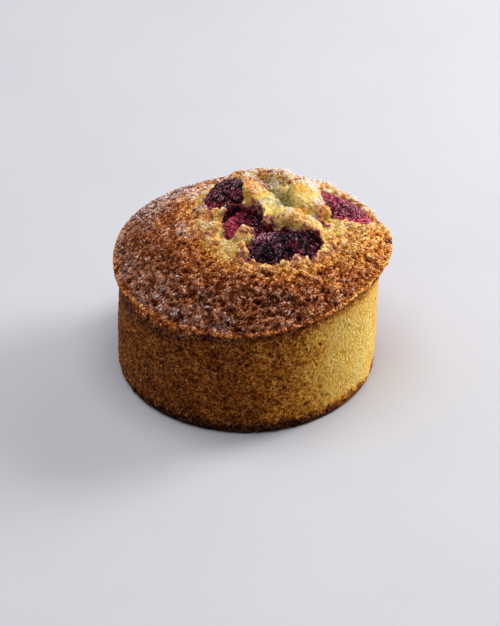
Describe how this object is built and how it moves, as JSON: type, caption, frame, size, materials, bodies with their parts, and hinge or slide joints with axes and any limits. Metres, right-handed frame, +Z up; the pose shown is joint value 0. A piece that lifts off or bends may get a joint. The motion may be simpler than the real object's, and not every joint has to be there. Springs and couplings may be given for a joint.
{
  "type": "financier cake",
  "caption": "Small round almond cake with a browned overhanging crust, a split pale crown and dark berries baked into it, standing on a flat base.",
  "frame": {"origin": "centre of the flat base", "axes": "+Z up; +X to the right and -Y towards the viewer of the shown side; the crust's lip sticks out furthest at +X"},
  "size_m": [0.0728, 0.0704, 0.0468],
  "materials": {
    "crumb": "browned granular crust over pale yellow crumb, slightly glossy grains with fine sugar dusting",
    "dark_berry": "moist purple-black baked berry skin with small bright glints",
    "red_berry": "moist crimson berry flesh with small bright glints"
  },
  "bodies": {
    "root": {"cake": "crumb", "berry_left": "dark_berry", "berry_middle": "red_berry", "berry_front": "dark_berry", "berry_right": "red_berry"}
  },
  "joints": []
}
